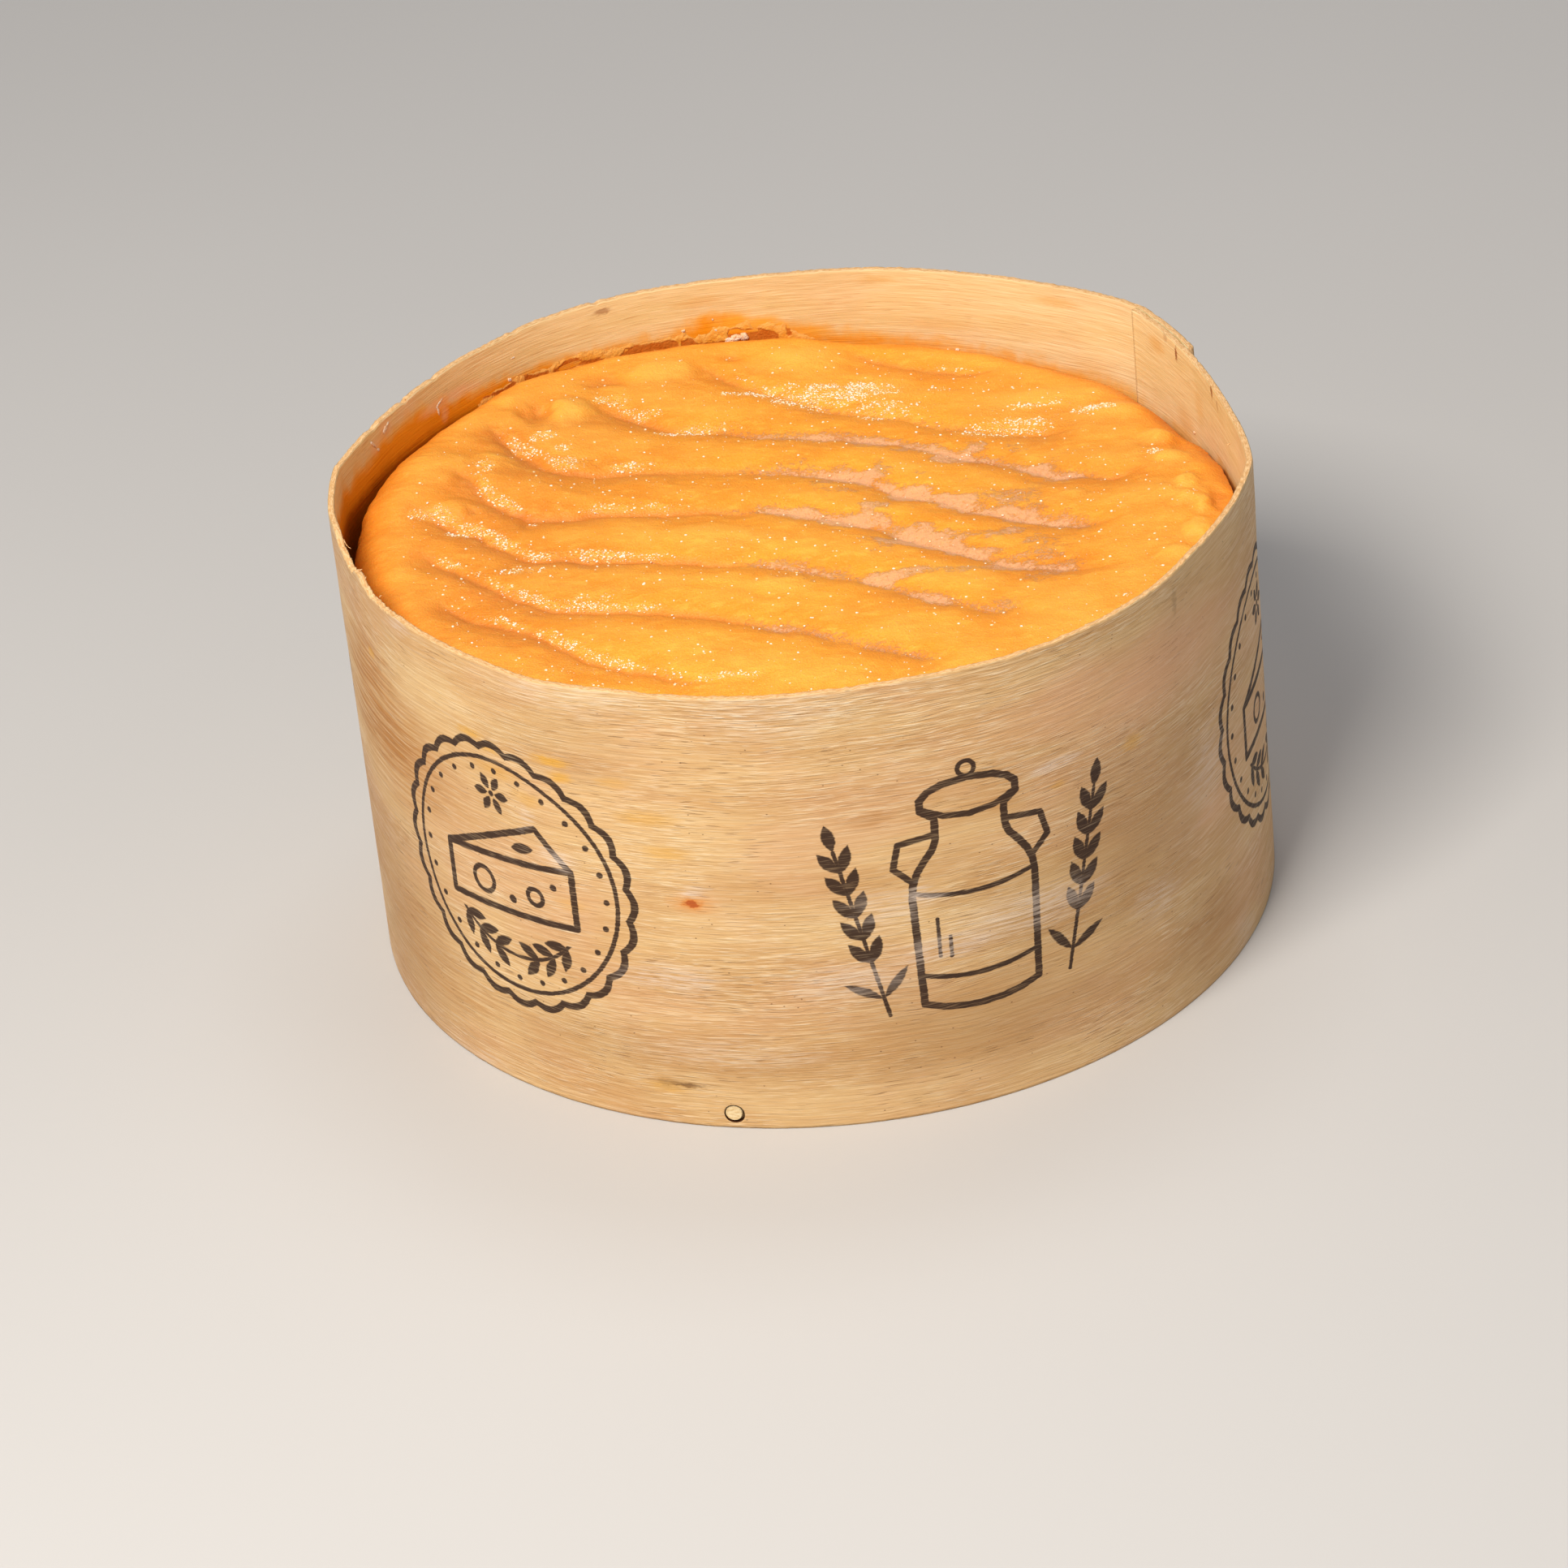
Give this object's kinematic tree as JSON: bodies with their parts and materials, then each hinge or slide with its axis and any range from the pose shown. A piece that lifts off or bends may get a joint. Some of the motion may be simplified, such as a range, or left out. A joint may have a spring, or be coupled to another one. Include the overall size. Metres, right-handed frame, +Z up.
{
  "type": "cheese box",
  "caption": "Round open-topped box of bent wood veneer on a pegged board bottom, holding a soft cheese with a folded rind that lifts out.",
  "frame": {"origin": "centre of the underside, where the box stands", "axes": "+Z up out of the open mouth, -Y towards the front that the picture shows, +X to the right"},
  "size_m": [0.1143, 0.114, 0.06],
  "materials": {
    "veneer": "peeled poplar veneer, satin, with fine raised fibres",
    "glue": "dried glue film",
    "board": "sawn softwood, bare",
    "peg": "turned dowel, bare",
    "rind": "moist washed rind, soft sheen",
    "paste": "soft cheese, moist"
  },
  "bodies": {
    "box": {"side_band": "veneer", "lap_glue": "glue", "bottom_disc": "board", "bottom_pegs": "peg"},
    "cheese": {"cheese_rind": "rind", "cheese_paste": "paste"}
  },
  "joints": [
    {"name": "cheese_lift", "type": "slide", "parent": "box", "child": "cheese", "axis": [0, 0, 1], "range_m": [0, 0.065]}
  ]
}
